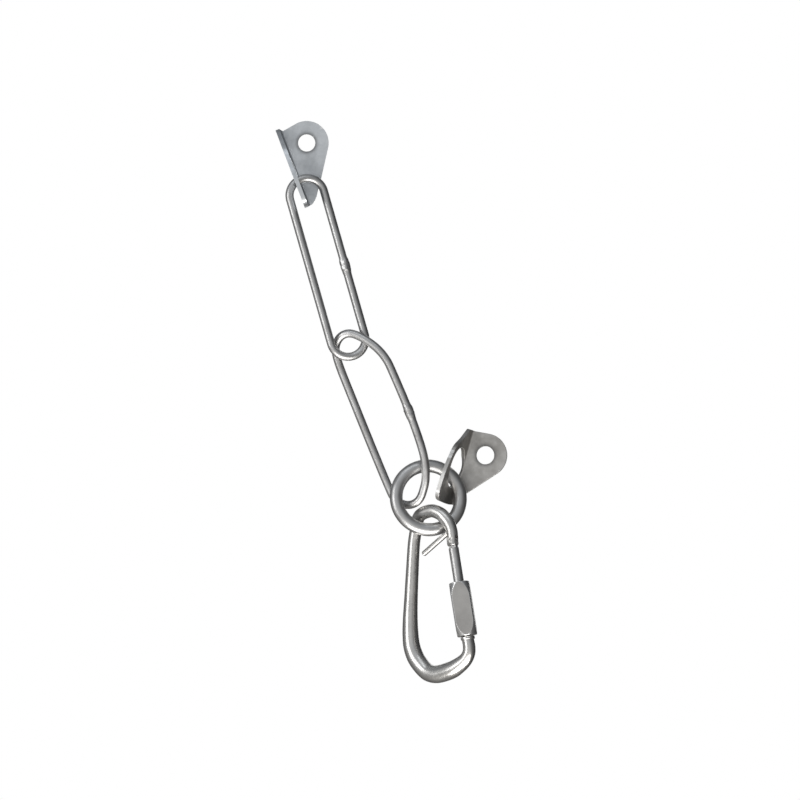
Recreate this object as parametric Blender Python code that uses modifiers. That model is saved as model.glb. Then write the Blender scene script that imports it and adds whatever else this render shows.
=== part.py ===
"""Two-hanger stainless chain anchor with a captive screw-gate snap hook.

Frame: the wall is the plane Y = 0 and the chain stands in front of it, at negative Y.
+Z is up and the origin is the axis of the upper bolt on the wall. Sizes below are in
millimetres; MM turns them into metres.
"""
import math

import bmesh
import bpy
from mathutils import Matrix, Vector

MM = 0.001
GAP = 0.3                       # clearance between pieces that would touch

# Bent hanger plates
PLATE = 3.0                     # sheet thickness
BEND_INSIDE = 2.0               # inside radius of the bend
EYE_HALF = (11.7, 15.3)         # half axes of the oval eye, out from the wall and down
EYE_DOWN = 14.5                 # eye centre below the bolt hole, along the bend
EYE_OUT = 14.0                  # eye centre out from the wall
UPPER_LEAN = math.radians(20.8)
UPPER_BEND = math.radians(90.0)
LOWER_LEAN = math.radians(-16.0)
LOWER_BEND = math.radians(76.2)  # this leg stands open by 14 degrees
LOWER_TURN = math.radians(8.5)
LOWER_BOLT = Vector((130.4, -8.0, -227.6))
UPPER_HOLE = 18.0               # bolt hole from the leg's outer face
UPPER_HOLE_RADIUS = 6.25
LOWER_HOLE = 17.0
LOWER_HOLE_RADIUS = 6.6
# Outline: head radius, top of the bend, its nub, reach of the leg, shoulder and lower edge
UPPER_OUTLINE = (16.0, -14.2, 2.4, 31.0, (18.6, 28.0),
                 ((13.6, 34.9), (11.2, 38.6), (8.6, 41.4), (5.6, 43.4)))
LOWER_OUTLINE = (15.9, -14.8, 0.2, 33.0, (11.0, 31.0), ((8.0, 35.0), (6.5, 38.5), (5.2, 41.2)))

# Wire links and ring
WIRE = 3.0                      # wire radius
UPPER_LINK_ENDS = (Vector((0.4, -15.2, -38.5)), Vector((30.2, -22.1, -143.2)))
UPPER_LINK_RADIUS = 12.7
UPPER_WELD = 0.52               # place of the weld down the straight strand
UPPER_LINK_TILT = 0.25          # the left strand stands nearer the viewer
LOWER_LINK_TILT = -0.36         # the right strand stands nearer the viewer
LOWER_LINK_DEPTH = -29.9
LOWER_WELD = (74.7, -195.9)
LOWER_LINK_AXIS = Vector((0.356, 0.0, -0.934))
LOWER_LINK_ROUTE = (            # centreline seen square on to the wall, as (x, z)
    (21.3, -152.0), (24.4, -163.5), (33.8, -187.3), (48.5, -223.7), (60.0, -251.3),
    (63.5, -258.0), (68.6, -262.3), (75.2, -263.5), (81.3, -260.4), (84.8, -253.3),
    (86.7, -242.0), (84.6, -225.0), (74.7, -195.9), (62.6, -167.0), (57.5, -157.0),
    (50.5, -149.0), (41.0, -142.4), (32.4, -139.0), (26.2, -140.3), (22.2, -145.2),
)
WELD_SWELL = 0.22               # how much the weld bead is thicker than the wire
WELD_LENGTH = 5.0
RING_CENTRE = Vector((88.6, -24.0, -258.3))
RING_RADIUS = 23.6
RING_WIRE = 4.7
RING_TILT = (0.15, 0.20)        # depth per unit of x and of z

# Snap hook, in its own frame: x across, z up, y through its thickness
HOOK_TURN = math.atan2(0.6, 0.8)
HOOK_ORIGIN = Vector((88.4, -25.3, -281.5))
HOOK_SPINE = (                  # centreline (x, z) and radius, from hinge end to nose
    (22.2, -8.3, 4.2), (21.9, -3.5, 4.25), (20.9, 1.0, 4.3), (18.5, 5.2, 4.6), (14.1, 9.5, 4.8),
    (10.4, 11.9, 4.8), (3.4, 13.8, 4.85), (-4.8, 11.8, 4.8), (-9.0, 8.0, 4.6),
    (-11.0, -0.3, 4.5), (-12.9, -11.2, 4.5), (-14.3, -31.0, 4.7), (-15.5, -51.2, 5.0),
    (-16.1, -65.8, 5.5),
    (-15.9, -76.0, 5.9), (-14.8, -84.7, 6.2), (-11.8, -92.0, 6.4), (-8.0, -97.1, 6.4),
    (-2.9, -101.8, 6.4), (2.1, -104.3, 6.5), (9.5, -104.7, 6.6), (20.9, -101.7, 6.5),
    (28.1, -98.1, 5.9), (33.5, -94.2, 5.2), (36.5, -89.9, 4.8),
)
PIVOT = Vector((22.1, 0.0, -8.1))
GATE_LEAN = math.radians(11.1)
GATE_RADIUS = 3.7
GATE_LENGTH = 69.6              # pivot to the free end
NOSE_FACE = 70.6                # pivot to the collar of the nose
COLLAR_RADIUS = 5.2
COLLAR_HEIGHT = 2.0
FORK_RADIUS = 4.3               # rounded end of the fork about the pivot
FORK_ROOF = 4.3                 # pivot to the roof of the slot
TONGUE = 2.8                    # tongue thickness
TONGUE_RADIUS = 3.4
PIN_RADIUS = 1.2
PIN_HALF = 3.9
ROD_START = 4.9                 # pivot to the shoulder of the gate rod
SLEEVE_RADIUS = 7.5             # turned ends
SLEEVE_FLAT = 7.25              # axis to one of the four milled flats
SLEEVE_CORNER = 9.6             # axis to a corner between flats, at mid length
SLEEVE_BORE = 4.05
SLEEVE_FACING = math.radians(-57.0)
SLEEVE_TOP = 30.2               # pivot to the sleeve's upper face
SLEEVE_LENGTH = 39.7
FLAT_RUNOUT = 11.0
BORE_RADIUS = 1.6               # spring bore in the arm
BORE_DEPTH = 9.0
BORE_LEAN = math.radians(14.0)
SPRING_RADIUS = 0.95
SPRING_WIRE = 0.22
SPRING_TURNS = 6
PLUNGER_RADIUS = 1.25
PLUNGER_LENGTH = 2.4
BAR_RADIUS = 2.0
BAR_ENDS = (Vector((-4.2, 0.0, -17.8)), Vector((18.0, 0.0, -1.9)))


def clear_scene():
    for obj in list(bpy.data.objects):
        bpy.data.objects.remove(obj, do_unlink=True)


def make_collection(name):
    collection = bpy.data.collections.new(name)
    bpy.context.scene.collection.children.link(collection)
    return collection


def steel(name, colour, roughness):
    material = bpy.data.materials.new(name)
    material.use_nodes = True
    shader = material.node_tree.nodes["Principled BSDF"]
    shader.inputs["Base Color"].default_value = (*colour, 1.0)
    shader.inputs["Metallic"].default_value = 1.0
    shader.inputs["Roughness"].default_value = roughness
    return material


def add_object(name, data, collection, material=None, parent=None):
    obj = bpy.data.objects.new(name, data)
    collection.objects.link(obj)
    if material:
        data.materials.append(material)
    obj.parent = parent
    return obj


def add_frame(name, location, rotation, parent=None):
    """An empty that holds the pieces of one moving assembly."""
    empty = bpy.data.objects.new(name, None)
    PARTS.objects.link(empty)
    empty.parent = parent
    empty.location = location * MM
    empty.rotation_euler = rotation
    return empty


def shade(obj, degrees=35.0):
    obj.data.shade_smooth()
    obj.data.set_sharp_from_angle(angle=math.radians(degrees))


def mesh_from(bm, name):
    bmesh.ops.recalc_face_normals(bm, faces=bm.faces)
    mesh = bpy.data.meshes.new(name)
    bm.to_mesh(mesh)
    bm.free()
    return mesh


def curve_to_mesh(obj):
    """Makes a curve object a mesh with its caps welded, so that it can be cut."""
    bpy.context.view_layer.update()
    depsgraph = bpy.context.evaluated_depsgraph_get()
    mesh = bpy.data.meshes.new_from_object(obj.evaluated_get(depsgraph))
    bm = bmesh.new()
    bm.from_mesh(mesh)
    bmesh.ops.remove_doubles(bm, verts=bm.verts, dist=0.001 * MM)
    bmesh.ops.recalc_face_normals(bm, faces=bm.faces)
    bm.to_mesh(mesh)
    bm.free()
    name = obj.name
    collection = obj.users_collection[0]
    material = obj.data.materials[0] if obj.data.materials else None
    parent = obj.parent
    matrix = obj.matrix_basis.copy()
    bpy.data.objects.remove(obj, do_unlink=True)
    mesh.materials.clear()
    result = add_object(name, mesh, collection, material, parent)
    result.matrix_basis = matrix
    return result


def flat_shape(name, outlines, thickness):
    """A sheet from closed 2D outlines; an outline inside another is a hole."""
    curve = bpy.data.curves.new(name, "CURVE")
    curve.dimensions = "2D"
    curve.fill_mode = "BOTH"
    curve.extrude = thickness / 2 * MM
    for outline in outlines:
        spline = curve.splines.new("POLY")
        spline.points.add(len(outline) - 1)
        for point, (x, y) in zip(spline.points, outline):
            point.co = (x * MM, y * MM, 0.0, 1.0)
        spline.use_cyclic_u = True
    return curve


def rod_curve(name, points, radii, cyclic, sides):
    """A round bar along points, in millimetres; radii is one value or one for each point."""
    curve = bpy.data.curves.new(name, "CURVE")
    curve.dimensions = "3D"
    curve.bevel_depth = MM
    curve.bevel_resolution = sides // 2 - 2
    curve.use_fill_caps = True
    spline = curve.splines.new("POLY")
    spline.points.add(len(points) - 1)
    spline.use_cyclic_u = cyclic
    for index, point in enumerate(points):
        spline.points[index].co = (*(point * MM), 1.0)
        spline.points[index].radius = radii[index] if isinstance(radii, list) else radii
    return curve


def arc(centre, radius, start, end, count):
    """Points on an arc, from angle start to angle end, both included."""
    step = (end - start) / count
    angles = [start + step * i for i in range(count + 1)]
    return [(centre[0] + radius * math.cos(a), centre[1] + radius * math.sin(a)) for a in angles]


def smooth(points, per_span, cyclic):
    """Points on a Catmull-Rom curve through the given points."""
    count = len(points)
    result = []
    for i in range(count if cyclic else count - 1):
        if cyclic:
            p = [points[(i + k) % count] for k in (-1, 0, 1, 2)]
        else:
            p = [points[min(max(i + k, 0), count - 1)] for k in (-1, 0, 1, 2)]
        for j in range(per_span):
            t = j / per_span
            result.append(0.5 * (2 * p[1] + (p[2] - p[0]) * t
                                 + (2 * p[0] - 5 * p[1] + 4 * p[2] - p[3]) * t ** 2
                                 + (3 * p[1] - p[0] - 3 * p[2] + p[3]) * t ** 3))
    if not cyclic:
        result.append(points[-1].copy())
    return result


def cut(obj, cutter, operation="DIFFERENCE"):
    """Adds an exact Boolean; the cutter stays as a hidden wire guide."""
    cutter.hide_render = True
    cutter.display_type = "WIRE"
    modifier = obj.modifiers.new(operation.title(), "BOOLEAN")
    modifier.operation = operation
    modifier.solver = "EXACT"
    modifier.object = cutter


def cylinder(name, radius, length, sides, collection, parent=None, material=None):
    """A cylinder on its own Z axis, centred on its origin."""
    bm = bmesh.new()
    bmesh.ops.create_cone(bm, cap_ends=True, segments=sides, radius1=radius * MM,
                          radius2=radius * MM, depth=length * MM)
    return add_object(name, mesh_from(bm, name), collection, material, parent)


def box(name, size, collection, parent=None):
    bm = bmesh.new()
    bmesh.ops.create_cube(bm, size=1.0)
    bmesh.ops.scale(bm, vec=[side * MM for side in size], verts=bm.verts)
    return add_object(name, mesh_from(bm, name), collection, None, parent)


def half_bend(bend):
    """Half the flat length that the bend takes up, at the middle of the sheet."""
    return (BEND_INSIDE + PLATE / 2) * bend / 2


def bend_sheet(u, v, h, bend):
    """Folds the flat sheet about u = 0 into a plate along +x and a leg turned up by bend."""
    outside = BEND_INSIDE + PLATE
    half = half_bend(bend)
    if u > half:
        return u - half + outside, v, h
    angle = min((half - u) / (2 * half), 1.0) * bend
    past = max(-half - u, 0.0)
    return (outside - (outside - h) * math.sin(angle) - past * math.cos(bend), v,
            outside - (outside - h) * math.cos(angle) + past * math.sin(bend))


def hanger_outline(bend, hole, head, top, nub, reach_out, shoulder, belly):
    """Flat outline of plate and leg: u across the bend line, v down along it.

    nub is how far the leg stands up past the plate, reach_out how far its rim stands out."""
    half = half_bend(bend)
    shift = half - BEND_INSIDE - PLATE
    hole_u = hole + shift
    lowest = belly[-1][1]
    reach = math.hypot(shoulder[0] + shift - hole_u, shoulder[1])
    toward = math.atan2(shoulder[1], shoulder[0] + shift - hole_u)
    tangent = toward - math.acos(head / reach)
    plate = arc((hole_u, 0.0), head, math.radians(-97.0), tangent, 22)
    plate.append((shoulder[0] + shift, shoulder[1]))
    plate += [(u + shift, v) for u, v in belly]
    rim = [(9.0, lowest + 0.6), (17.0, lowest + 0.2), (reach_out - 6.0, lowest - 0.6),
           (reach_out - 2.0, lowest - 2.2), (reach_out - 0.2, lowest - 5.0), (reach_out, lowest - 11.0),
           (reach_out - 0.8, 20.0), (reach_out - 2.8, 12.0), (reach_out - 5.0, 6.0),
           (reach_out - 8.5, -0.8), (16.5, -7.0), (11.0, -12.2), (8.0, top - 0.2 * nub), (6.0, top - 0.7 * nub)]
    rim = [(point.x, point.y) for point in smooth([Vector(p) for p in rim], 2, False)]
    leg = [(-(w + shift), v) for w, v in rim]
    return plate + leg + [(-half, top - nub), (-half + 2.0, top - 0.8 * nub), (half, top)]


def make_hanger(name, matrix, bend, hole, bolt_radius, shape, material):
    """A bent plate: bolt hole in the plate against the wall, eye in the leg that stands out.

    hole is the distance from the bend's outer corner to the bolt hole's axis."""
    half = half_bend(bend)
    shift = half - BEND_INSIDE - PLATE
    turn = 2 * math.pi
    bolt = arc((hole + shift, 0.0), bolt_radius, 0.0, turn * 31 / 32, 31)
    around = arc((0.0, 0.0), 1.0, 0.0, turn * 35 / 36, 35)
    eye = [(x * EYE_HALF[0] - EYE_OUT - shift, y * EYE_HALF[1] + EYE_DOWN) for x, y in around]
    curve = flat_shape(name, [hanger_outline(bend, hole, *shape), bolt, eye], PLATE)
    obj = curve_to_mesh(add_object(name, curve, PARTS, material))
    bm = bmesh.new()
    bm.from_mesh(obj.data)
    cuts = 8
    for i in range(cuts + 1):
        place = -half + 2 * half * i / cuts
        geometry = list(bm.verts) + list(bm.edges) + list(bm.faces)
        bmesh.ops.bisect_plane(bm, geom=geometry, plane_co=(place * MM, 0, 0), plane_no=(1, 0, 0))
    for vert in bm.verts:
        flat = vert.co / MM
        vert.co = Vector(bend_sheet(flat.x, flat.y, flat.z + PLATE / 2, bend)) * MM
    bmesh.ops.recalc_face_normals(bm, faces=bm.faces)
    bm.to_mesh(obj.data)
    bm.free()
    obj.data.transform(Matrix.Translation(Vector((-hole, 0, 0)) * MM))
    obj.data.transform(matrix.to_3x3().to_4x4())
    obj.data.flip_normals()
    obj.location = matrix.translation
    shade(obj, 30.0)
    return obj


def hanger_matrix(bolt, lean, turn):
    """Columns: across the plate, down along the bend, out from the wall."""
    across = Vector((math.cos(lean) * math.cos(turn), -math.sin(turn), math.sin(lean) * math.cos(turn)))
    down = Vector((math.sin(lean), 0.0, -math.cos(lean)))
    out = Vector((-math.cos(lean) * math.sin(turn), -math.cos(turn), -math.sin(lean) * math.sin(turn)))
    matrix = Matrix((across, down, out)).transposed().to_4x4()
    matrix.translation = bolt * MM
    return matrix


def weld_radii(points, radius, centre):
    """Wire radius at each point, swollen at the butt weld."""
    return [radius * (1 + WELD_SWELL * math.exp(-((p - centre).length / WELD_LENGTH) ** 4))
            for p in points]


def make_upper_link(material):
    top, bottom = UPPER_LINK_ENDS
    axis = (bottom - top).normalized()
    side = Vector((-axis.z, 0.0, axis.x)).normalized()
    side = Vector((side.x, UPPER_LINK_TILT, side.z))
    steps = 14
    points = []
    for i in range(steps + 1):
        a = math.pi * i / steps
        points.append(top + UPPER_LINK_RADIUS * (-side * math.cos(a) - axis * math.sin(a)))
    length = (bottom - top).length
    marks = [0.12, 0.32] + [UPPER_WELD + step for step in (-0.05, -0.025, 0.0, 0.025, 0.05)] + [0.72, 0.88]
    points += [top + side * UPPER_LINK_RADIUS + axis * length * t for t in marks]
    for i in range(steps + 1):
        a = math.pi * i / steps
        points.append(bottom + UPPER_LINK_RADIUS * (side * math.cos(a) + axis * math.sin(a)))
    points += [bottom - side * UPPER_LINK_RADIUS - axis * length * t for t in (0.25, 0.5, 0.75)]
    weld = top + side * UPPER_LINK_RADIUS + axis * length * UPPER_WELD
    return add_object("upper_link", rod_curve("upper_link", points, weld_radii(points, WIRE, weld),
                                              True, 12), PARTS, material)


def lower_link_point(x, z):
    """The lower link lies in one plane, tilted about its own length."""
    across = -LOWER_LINK_AXIS.z * x + LOWER_LINK_AXIS.x * z
    return Vector((x, LOWER_LINK_DEPTH + LOWER_LINK_TILT * across, z))


def make_lower_link(material):
    route = [lower_link_point(x, z) for x, z in LOWER_LINK_ROUTE]
    points = smooth(route, 4, True)
    weld = lower_link_point(*LOWER_WELD)
    return add_object("lower_link", rod_curve("lower_link", points, weld_radii(points, WIRE, weld),
                                              True, 12), PARTS, material)


def make_ring(material):
    normal = Vector((-RING_TILT[0], 1.0, -RING_TILT[1]))
    bpy.ops.mesh.primitive_torus_add(major_radius=RING_RADIUS * MM, minor_radius=RING_WIRE * MM,
                                     major_segments=56, minor_segments=14)
    ring = bpy.context.object
    ring.name = "ring"
    for collection in list(ring.users_collection):
        collection.objects.unlink(ring)
    PARTS.objects.link(ring)
    ring.data.materials.append(material)
    ring.rotation_euler = normal.to_track_quat("Z", "Y").to_euler()
    ring.location = RING_CENTRE * MM
    shade(ring)
    return ring


def hook_route():
    """Smoothed centreline of the body and its radius at each point."""
    axis = Vector((math.sin(GATE_LEAN), 0.0, -math.cos(GATE_LEAN)))
    nose = PIVOT + axis * (NOSE_FACE + COLLAR_HEIGHT + 6.0)
    end = PIVOT + axis * (NOSE_FACE + COLLAR_HEIGHT - 0.6)
    stations = HOOK_SPINE + ((nose.x, nose.z, 4.6), (end.x, end.z, 4.45))
    packed = smooth([Vector((x, r, z)) for x, z, r in stations], 3, False)
    return [Vector((p.x, 0.0, p.z)) for p in packed], [p.y for p in packed]


def on_gate(distance):
    """A point on the gate's axis, in the hook's frame."""
    return PIVOT + Vector((math.sin(GATE_LEAN), 0.0, -math.cos(GATE_LEAN))) * distance


def make_hook_body(frame, material):
    """Forged body: fork for the gate, bore for its spring, socket for the bar, nose collar."""
    points, radii = hook_route()
    body = curve_to_mesh(add_object("hook_body", rod_curve("hook_body", points, radii, False, 16),
                                    PARTS, material, frame))
    bm = bmesh.new()
    bmesh.ops.create_uvsphere(bm, u_segments=28, v_segments=16, radius=FORK_RADIUS * MM)
    fork = add_object("fork_round", mesh_from(bm, "fork_round"), CUTTERS, None, frame)
    fork.location = PIVOT * MM
    cut(body, fork, "UNION")
    collar = cylinder("nose_collar", COLLAR_RADIUS, COLLAR_HEIGHT, 32, CUTTERS, frame)
    collar.location = on_gate(NOSE_FACE + COLLAR_HEIGHT / 2) * MM
    collar.rotation_euler = (0.0, -GATE_LEAN, 0.0)
    cut(body, collar, "UNION")
    slot_height = FORK_ROOF + 8.0
    slot = box("tongue_slot", (16.0, TONGUE + 2 * GAP, slot_height), CUTTERS, frame)
    slot.location = (PIVOT + Vector((0, 0, FORK_ROOF - slot_height / 2))) * MM
    cut(body, slot)
    pin_hole = cylinder("pin_hole", PIN_RADIUS + GAP, 14.0, 24, CUTTERS, frame)
    pin_hole.location = PIVOT * MM
    pin_hole.rotation_euler = (math.pi / 2, 0.0, 0.0)
    cut(body, pin_hole)
    bore = cylinder("spring_bore", BORE_RADIUS, BORE_DEPTH + 1.0, 20, CUTTERS, frame)
    bore.location = in_bore(BORE_DEPTH / 2 - 0.5) * MM
    bore.rotation_euler = (0.0, -BORE_LEAN, 0.0)
    cut(body, bore)
    start, end = BAR_ENDS
    along = (end - start).normalized()
    socket = cylinder("bar_socket", BAR_RADIUS + GAP, 12.0, 24, CUTTERS, frame)
    socket.location = (end + along * (GAP - 6.0)) * MM
    socket.rotation_euler = along.to_track_quat("Z", "Y").to_euler()
    cut(body, socket)
    shade(body, 40.0)
    return body


def in_bore(distance):
    """A point on the spring bore's axis, measured up from the roof of the slot."""
    roof = PIVOT + Vector((0.0, 0.0, FORK_ROOF))
    return roof + Vector((-math.sin(BORE_LEAN), 0.0, math.cos(BORE_LEAN))) * distance


def make_captive_bar(frame, material):
    start, end = BAR_ENDS
    length = (end - start).length
    bar = cylinder("captive_bar", BAR_RADIUS, length, 20, PARTS, frame, material)
    bar.location = (start + end) / 2 * MM
    bar.rotation_euler = (end - start).to_track_quat("Z", "Y").to_euler()
    bevel = bar.modifiers.new("Rounded ends", "BEVEL")
    bevel.width = 0.6 * MM
    bevel.segments = 3
    bevel.angle_limit = math.radians(50.0)
    bevel.limit_method = "ANGLE"
    shade(bar)
    return bar


def make_gate(frame, material):
    """Round rod with a tongue at its hinge end; its origin is the hinge axis."""
    length = GATE_LENGTH - ROD_START
    gate = cylinder("gate", GATE_RADIUS, length, 28, PARTS, frame, material)
    gate.data.transform(Matrix.Translation(Vector((0, 0, -(ROD_START + length / 2))) * MM))
    tongue = cylinder("tongue_round", TONGUE_RADIUS, TONGUE, 28, CUTTERS, frame)
    tongue.rotation_euler = (math.pi / 2, 0.0, 0.0)
    cut(gate, tongue, "UNION")
    neck_length = ROD_START + 1.0
    neck = box("tongue_neck", (2 * TONGUE_RADIUS - 0.6, TONGUE, neck_length), CUTTERS, frame)
    neck.location = Vector((0, 0, -neck_length / 2)) * MM
    cut(gate, neck, "UNION")
    hole = cylinder("tongue_hole", PIN_RADIUS + GAP, 10.0, 24, CUTTERS, frame)
    hole.rotation_euler = (math.pi / 2, 0.0, 0.0)
    cut(gate, hole)
    shade(gate)
    return gate


def make_pin(frame, material):
    pin = cylinder("gate_pivot_pin", PIN_RADIUS, 2 * PIN_HALF, 20, PARTS, frame, material)
    pin.location = PIVOT * MM
    pin.rotation_euler = (math.pi / 2, 0.0, 0.0)
    shade(pin)
    return pin


def make_spring(frame, material):
    start, rise, per_turn = 2.7, 5.6, 12
    count = SPRING_TURNS * per_turn
    lean = Matrix.Rotation(-BORE_LEAN, 3, "Y")
    points = []
    for i in range(count + 1):
        a = 2 * math.pi * i / per_turn
        local = Vector((SPRING_RADIUS * math.cos(a), SPRING_RADIUS * math.sin(a), start + rise * i / count))
        points.append(in_bore(0.0) + lean @ local)
    curve = rod_curve("gate_spring", points, SPRING_WIRE, False, 8)
    return add_object("gate_spring", curve, PARTS, material, frame)


def make_plunger(frame, material):
    plunger = cylinder("spring_plunger", PLUNGER_RADIUS, PLUNGER_LENGTH, 20, PARTS, frame, material)
    plunger.location = in_bore(PLUNGER_LENGTH / 2 - 0.2) * MM
    plunger.rotation_euler = (0.0, -BORE_LEAN, 0.0)
    shade(plunger)
    return plunger


def sleeve_radius(angle, corner):
    """Square section with its corners turned down to the given radius."""
    quarter = math.pi / 2
    off = (angle - SLEEVE_FACING + quarter / 2) % quarter - quarter / 2
    return min(SLEEVE_FLAT / math.cos(off), corner)


def make_sleeve(frame, material):
    """Sleeve nut: turned ends, four milled flats that run out in arches, plain bore."""
    stations = [(0.0, SLEEVE_RADIUS - 0.8), (0.4, SLEEVE_RADIUS - 0.2), (1.0, SLEEVE_RADIUS)]
    steps = 6
    for i in range(1, steps + 1):
        t = i / steps
        swell = SLEEVE_CORNER - SLEEVE_RADIUS
        stations.append((1.0 + (FLAT_RUNOUT - 1.0) * t, SLEEVE_RADIUS + swell * math.sin(t * math.pi / 2)))
    stations += [(SLEEVE_LENGTH - depth, radius) for depth, radius in reversed(stations)]
    sides = 48
    bm = bmesh.new()
    rows = []
    for depth, corner in stations:
        row = []
        for i in range(sides):
            a = 2 * math.pi * i / sides + SLEEVE_FACING + math.pi / 4
            r = sleeve_radius(a, corner)
            row.append(bm.verts.new(Vector((r * math.cos(a), r * math.sin(a), -(SLEEVE_TOP + depth))) * MM))
        rows.append(row)
    for depth in (SLEEVE_LENGTH, 0.0):
        row = []
        for i in range(sides):
            a = 2 * math.pi * i / sides + SLEEVE_FACING + math.pi / 4
            spot = Vector((SLEEVE_BORE * math.cos(a), SLEEVE_BORE * math.sin(a), -(SLEEVE_TOP + depth)))
            row.append(bm.verts.new(spot * MM))
        rows.append(row)
    for upper, lower in zip(rows, rows[1:] + rows[:1]):
        for i in range(sides):
            j = (i + 1) % sides
            bm.faces.new((upper[i], upper[j], lower[j], lower[i]))
    sleeve = add_object("screw_sleeve", mesh_from(bm, "screw_sleeve"), PARTS, material, frame)
    shade(sleeve, 20.0)
    return sleeve


def main():
    plate = steel("hanger_plate", (0.42, 0.44, 0.46), 0.42)
    warm_plate = steel("hanger_plate_warm", (0.44, 0.43, 0.41), 0.42)
    wire = steel("wire_steel", (0.52, 0.52, 0.51), 0.30)
    forged = steel("forged_steel", (0.60, 0.60, 0.59), 0.22)
    milled = steel("milled_steel", (0.38, 0.38, 0.37), 0.50)
    spring_steel = steel("spring_steel", (0.45, 0.46, 0.47), 0.30)

    make_hanger("upper_hanger", hanger_matrix(Vector((0, 0, 0)), UPPER_LEAN, 0.0), UPPER_BEND,
                UPPER_HOLE, UPPER_HOLE_RADIUS, UPPER_OUTLINE, plate)
    make_hanger("lower_hanger", hanger_matrix(LOWER_BOLT, LOWER_LEAN, LOWER_TURN), LOWER_BEND,
                LOWER_HOLE, LOWER_HOLE_RADIUS, LOWER_OUTLINE, warm_plate)
    make_upper_link(wire)
    make_lower_link(wire)
    make_ring(wire)

    hook = add_frame("hook_frame", HOOK_ORIGIN, (0.0, 0.0, -HOOK_TURN))
    gate_frame = add_frame("gate_frame", PIVOT, (0.0, -GATE_LEAN, 0.0), hook)
    bpy.context.view_layer.update()
    make_hook_body(hook, forged)
    make_captive_bar(hook, forged)
    make_pin(hook, forged)
    make_spring(hook, spring_steel)
    make_plunger(hook, spring_steel)
    make_gate(gate_frame, wire)
    make_sleeve(gate_frame, milled)


clear_scene()
PARTS = make_collection("chain_anchor")
CUTTERS = make_collection("cutters")
main()
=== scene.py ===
import math

import bmesh
import bpy
from mathutils import Matrix, Vector, noise


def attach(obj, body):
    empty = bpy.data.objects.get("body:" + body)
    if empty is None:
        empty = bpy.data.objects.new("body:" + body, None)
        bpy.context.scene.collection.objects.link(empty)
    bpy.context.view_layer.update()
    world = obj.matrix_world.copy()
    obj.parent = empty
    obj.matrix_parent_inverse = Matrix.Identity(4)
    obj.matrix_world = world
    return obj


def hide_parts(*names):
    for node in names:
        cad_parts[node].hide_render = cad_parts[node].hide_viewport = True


# Looks of the two-hanger chain anchor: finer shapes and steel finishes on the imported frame.
# World frame in metres: wall at Y = 0, chain in front of it at negative Y, +Z up.
# Shape sizes below are in millimetres and MM turns them into metres.

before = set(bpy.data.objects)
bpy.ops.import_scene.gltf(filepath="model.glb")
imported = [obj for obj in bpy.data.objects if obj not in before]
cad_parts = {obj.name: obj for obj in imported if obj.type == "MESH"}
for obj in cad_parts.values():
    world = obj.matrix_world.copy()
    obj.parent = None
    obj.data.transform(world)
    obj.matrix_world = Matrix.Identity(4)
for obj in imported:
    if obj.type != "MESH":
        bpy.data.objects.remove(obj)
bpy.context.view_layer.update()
MM = 0.001
EDGE_STEPS = 5

# Hangers
PLATE = 3.0
BEND_INSIDE = 2.0
EYE_HALF = (11.7, 15.3)
EYE_DOWN = 14.5
EYE_OUT = 14.0
EDGE_ROUND = 0.55
SHEET_STEP = 1.3
BEND_STEP = 0.35
HOLE_SIDES = 96
UPPER_LEAN = math.radians(20.8)
UPPER_BEND = math.radians(90.0)
LOWER_LEAN = math.radians(-16.0)
LOWER_BEND = math.radians(76.2)
LOWER_TURN = math.radians(8.5)
LOWER_BOLT = Vector((130.4, -8.0, -227.6))
UPPER_HOLE = 18.0
UPPER_HOLE_RADIUS = 6.25
LOWER_HOLE = 17.0
LOWER_HOLE_RADIUS = 6.6
# Each shape is the head's radius, the top of the fold and how far it drops, the leg's reach,
# the plate's shoulder, and the points below the shoulder.
UPPER_BELLY = ((13.6, 34.9), (11.2, 38.6), (8.6, 41.4), (5.6, 43.4))
LOWER_BELLY = ((8.0, 35.0), (6.5, 38.5), (5.2, 41.2))
UPPER_SHAPE = (16.0, -14.2, 2.4, 31.0, (18.6, 28.0), UPPER_BELLY)
LOWER_SHAPE = (15.9, -14.8, 0.2, 33.0, (11.0, 31.0), LOWER_BELLY)
# Painted shade: a dark ring round the bolt hole, its strength and width.
HOLE_SHADE = 0.95
HOLE_SHADE_WIDTH = 1.7
# Painted highlight: a lighter strip along the leg's rim, fading in below RIM_START.
RIM_START = 16.0
RIM_FADE = 8.0
RIM_HIGHLIGHT = 0.35

# Links and ring
WIRE = 3.0
UPPER_LINK_ENDS = (Vector((0.4, -15.2, -38.5)), Vector((30.2, -22.1, -143.2)))
UPPER_LINK_RADIUS = 12.7
UPPER_LINK_TILT = 0.25
LOWER_LINK_TILT = -0.36
LOWER_LINK_DEPTH = -29.9
LOWER_LINK_AXIS = Vector((0.356, 0.0, -0.934))
LOWER_LINK_ROUTE = (
    (21.3, -152.0), (24.4, -163.5), (33.8, -187.3), (48.5, -223.7), (60.0, -251.3),
    (63.5, -258.0), (68.6, -262.3), (75.2, -263.5), (81.3, -260.4), (84.8, -253.3),
    (86.7, -242.0), (84.6, -225.0), (74.7, -195.9), (62.6, -167.0), (57.5, -157.0),
    (50.5, -149.0), (41.0, -142.4), (32.4, -139.0), (26.2, -140.3), (22.2, -145.2),
)
LINK_STEP = 0.8
LINK_SIDES = 28
WELD_SWELL = 0.19
WELD_LENGTH = 5.0
UPPER_WELD = 0.52
LOWER_WELD = (74.7, -195.9)
RING_CENTRE = Vector((88.6, -24.0, -258.3))
RING_RADIUS = 23.6
RING_WIRE = 4.7
RING_TILT = (0.15, 0.20)
RING_SEAM = 0.12

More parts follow.
